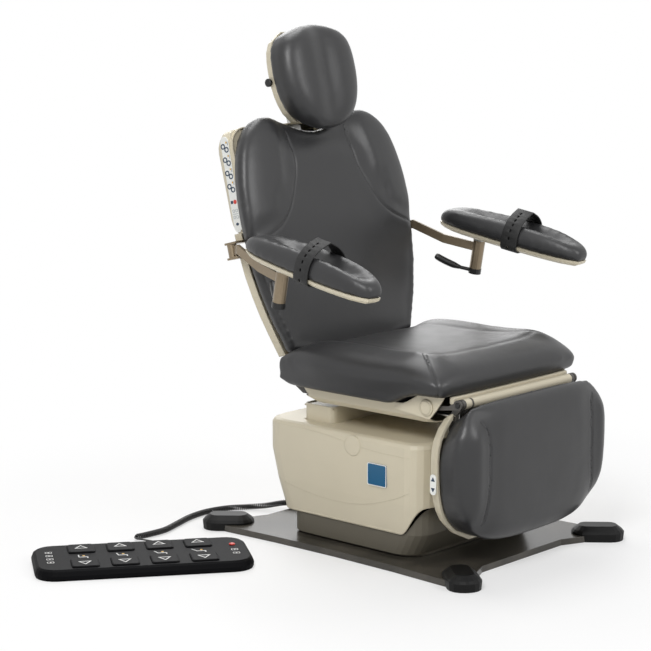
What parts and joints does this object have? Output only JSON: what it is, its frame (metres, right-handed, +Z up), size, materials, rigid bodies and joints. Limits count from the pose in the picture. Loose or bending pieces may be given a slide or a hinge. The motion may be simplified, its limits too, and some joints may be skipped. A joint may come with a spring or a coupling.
{
  "type": "surgery chair",
  "caption": "Powered surgery chair with lift, tilting seat, reclining back, hinged legrest, sliding headrest, swing-out armrests and a corded foot control",
  "frame": {"origin": "middle of the base plate's underside, on the floor", "axes": "the chair faces -Y, +X is the sitter's left, +Z is up"},
  "size_m": [1.5422, 1.1046, 1.4406],
  "materials": {
    "dark_base_paint": "satin taupe powder coat",
    "dark_skirt": "fine-grained moulded plastic",
    "black_rubber": "matte black rubber",
    "black_plastic": "fine-grained black plastic",
    "pale_plastic": "satin beige plastic",
    "panel_film": "satin key film",
    "steel": "plain machined steel",
    "bronze_paint": "satin bronze paint",
    "charcoal_vinyl": "charcoal vinyl with a soft sheen"
  },
  "bodies": {
    "base": {"base_plate": "dark_base_paint", "foot_cap_front_right": "black_rubber", "foot_cap_front_left": "black_rubber", "foot_cap_rear_right": "black_rubber", "foot_cap_rear_left": "black_rubber", "kick_skirt": "dark_skirt", "base_cover": "pale_plastic", "lift_sleeve": "steel", "lift_drive": "black_plastic", "cord_gland": "black_rubber", "foot_cord": "black_rubber", "cord_boot": "black_rubber", "foot_control_base": "black_plastic", "foot_control_top": "black_plastic"},
    "lift_carriage": {"lift_column": "steel", "riser_cover": "pale_plastic", "tilt_shaft": "steel"},
    "shroud": {"lift_shroud": "pale_plastic"},
    "seat": {"seat_frame": "steel", "seat_shell": "pale_plastic", "seat_cushion": "charcoal_vinyl", "pivot_cap_right": "pale_plastic", "pivot_cap_left": "pale_plastic", "front_crossbar": "pale_plastic", "recline_shaft": "steel", "leg_shaft": "steel", "recline_drive": "black_plastic", "leg_drive": "black_plastic"},
    "recline_push": {"recline_rod": "steel"},
    "leg_push": {"leg_rod": "steel"},
    "back": {"back_frame": "steel", "back_shell": "pale_plastic", "back_cushion": "charcoal_vinyl", "side_panel": "panel_film"},
    "head_slider": {"head_bar": "steel"},
    "headrest": {"headrest_shell": "pale_plastic", "headrest_cushion": "charcoal_vinyl"},
    "headrest_clamp": {"head_knob": "black_plastic"},
    "legrest": {"legrest_frame": "steel", "legrest_shell": "pale_plastic", "legrest_cushion": "charcoal_vinyl", "legrest_keys": "panel_film"},
    "arm_right": {"arm_bar_right": "bronze_paint"},
    "forearm_right": {"pad_tray_right": "pale_plastic", "arm_pad_right": "charcoal_vinyl", "arm_strap_right": "black_rubber"},
    "clamp_right": {"arm_lever_right": "black_plastic"},
    "arm_left": {"arm_bar_left": "bronze_paint"},
    "forearm_left": {"pad_tray_left": "pale_plastic", "arm_pad_left": "charcoal_vinyl", "arm_strap_left": "black_rubber"},
    "clamp_left": {"arm_lever_left": "black_plastic"},
    "foot_key_1": {"foot_pad_1": "black_plastic"},
    "foot_key_2": {"foot_pad_2": "black_plastic"},
    "foot_key_3": {"foot_pad_3": "black_plastic"},
    "foot_key_4": {"foot_pad_4": "black_plastic"},
    "foot_key_5": {"foot_pad_5": "black_plastic"},
    "foot_key_6": {"foot_pad_6": "black_plastic"},
    "foot_key_7": {"foot_pad_7": "black_plastic"},
    "foot_key_8": {"foot_pad_8": "black_plastic"}
  },
  "joints": [
    {"name": "lift", "type": "slide", "parent": "base", "child": "lift_carriage", "axis": [0, 0, 1], "range_m": [0, 0.25]},
    {"name": "shroud_slide", "type": "slide", "parent": "base", "child": "shroud", "axis": [0, 0, 1], "range_m": [0, 0.125]},
    {"name": "tilt", "type": "hinge", "parent": "lift_carriage", "child": "seat", "pos_m": [0, 0.149, 0.432], "axis": [-1, 0, 0], "range_deg": [0, 20]},
    {"name": "recline", "type": "hinge", "parent": "seat", "child": "back", "pos_m": [0, 0.2515, 0.48], "axis": [-1, 0, 0], "range_deg": [0, 75]},
    {"name": "recline_push", "type": "slide", "parent": "seat", "child": "recline_push", "axis": [0, -1, 0], "range_m": [0, 0.06035]},
    {"name": "leg_raise", "type": "hinge", "parent": "seat", "child": "legrest", "pos_m": [0, -0.372, 0.468], "axis": [-1, 0, 0], "range_deg": [0, 85]},
    {"name": "leg_push", "type": "slide", "parent": "seat", "child": "leg_push", "axis": [0, -1, 0], "range_m": [0, 0.06756]},
    {"name": "head_slide", "type": "slide", "parent": "back", "child": "head_slider", "axis": [0, 0.2538, 0.9673], "range_m": [0, 0.1]},
    {"name": "head_tilt", "type": "hinge", "parent": "head_slider", "child": "headrest", "pos_m": [0, 0.42026, 1.28089], "axis": [-1, 0, 0], "range_deg": [-5, 30]},
    {"name": "head_clamp", "type": "hinge", "parent": "headrest", "child": "headrest_clamp", "pos_m": [0, 0.42026, 1.28089], "axis": [-1, 0, 0], "range_deg": [0, 90]},
    {"name": "arm_swing_right", "type": "hinge", "parent": "back", "child": "arm_right", "pos_m": [-0.356, 0.36207, 0.82266], "axis": [0, -0.2538, -0.9673], "range_deg": [0, 70]},
    {"name": "pad_swivel_right", "type": "hinge", "parent": "arm_right", "child": "forearm_right", "pos_m": [-0.43, 0.1, 0.798], "axis": [0, -0.1736, 0.9848], "range_deg": [-30, 30]},
    {"name": "clamp_lever_right", "type": "hinge", "parent": "arm_right", "child": "clamp_right", "pos_m": [-0.43, 0.1, 0.798], "axis": [0, -0.1736, 0.9848], "range_deg": [0, 60]},
    {"name": "arm_swing_left", "type": "hinge", "parent": "back", "child": "arm_left", "pos_m": [0.356, 0.36207, 0.82266], "axis": [0, 0.2538, 0.9673], "range_deg": [0, 70]},
    {"name": "pad_swivel_left", "type": "hinge", "parent": "arm_left", "child": "forearm_left", "pos_m": [0.43, 0.1, 0.798], "axis": [0, -0.1736, 0.9848], "range_deg": [-30, 30]},
    {"name": "clamp_lever_left", "type": "hinge", "parent": "arm_left", "child": "clamp_left", "pos_m": [0.43, 0.1, 0.798], "axis": [0, 0.1736, -0.9848], "range_deg": [0, 60]},
    {"name": "foot_key_1_press", "type": "slide", "parent": "base", "child": "foot_key_1", "axis": [0, 0, -1], "range_m": [0, 0.002], "stiffness_N_per_m": 2000, "springref_m": -0.001},
    {"name": "foot_key_2_press", "type": "slide", "parent": "base", "child": "foot_key_2", "axis": [0, 0, -1], "range_m": [0, 0.002], "stiffness_N_per_m": 2000, "springref_m": -0.001},
    {"name": "foot_key_3_press", "type": "slide", "parent": "base", "child": "foot_key_3", "axis": [0, 0, -1], "range_m": [0, 0.002], "stiffness_N_per_m": 2000, "springref_m": -0.001},
    {"name": "foot_key_4_press", "type": "slide", "parent": "base", "child": "foot_key_4", "axis": [0, 0, -1], "range_m": [0, 0.002], "stiffness_N_per_m": 2000, "springref_m": -0.001},
    {"name": "foot_key_5_press", "type": "slide", "parent": "base", "child": "foot_key_5", "axis": [0, 0, -1], "range_m": [0, 0.002], "stiffness_N_per_m": 2000, "springref_m": -0.001},
    {"name": "foot_key_6_press", "type": "slide", "parent": "base", "child": "foot_key_6", "axis": [0, 0, -1], "range_m": [0, 0.002], "stiffness_N_per_m": 2000, "springref_m": -0.001},
    {"name": "foot_key_7_press", "type": "slide", "parent": "base", "child": "foot_key_7", "axis": [0, 0, -1], "range_m": [0, 0.002], "stiffness_N_per_m": 2000, "springref_m": -0.001},
    {"name": "foot_key_8_press", "type": "slide", "parent": "base", "child": "foot_key_8", "axis": [0, 0, -1], "range_m": [0, 0.002], "stiffness_N_per_m": 2000, "springref_m": -0.001}
  ],
  "couplings": [
    {"joint": "shroud_slide", "follows": "lift", "ratio": 0.5},
    {"joint": "recline_push", "follows": "recline", "m_per_rad": 0.046108},
    {"joint": "leg_push", "follows": "leg_raise", "m_per_rad": 0.045539}
  ]
}
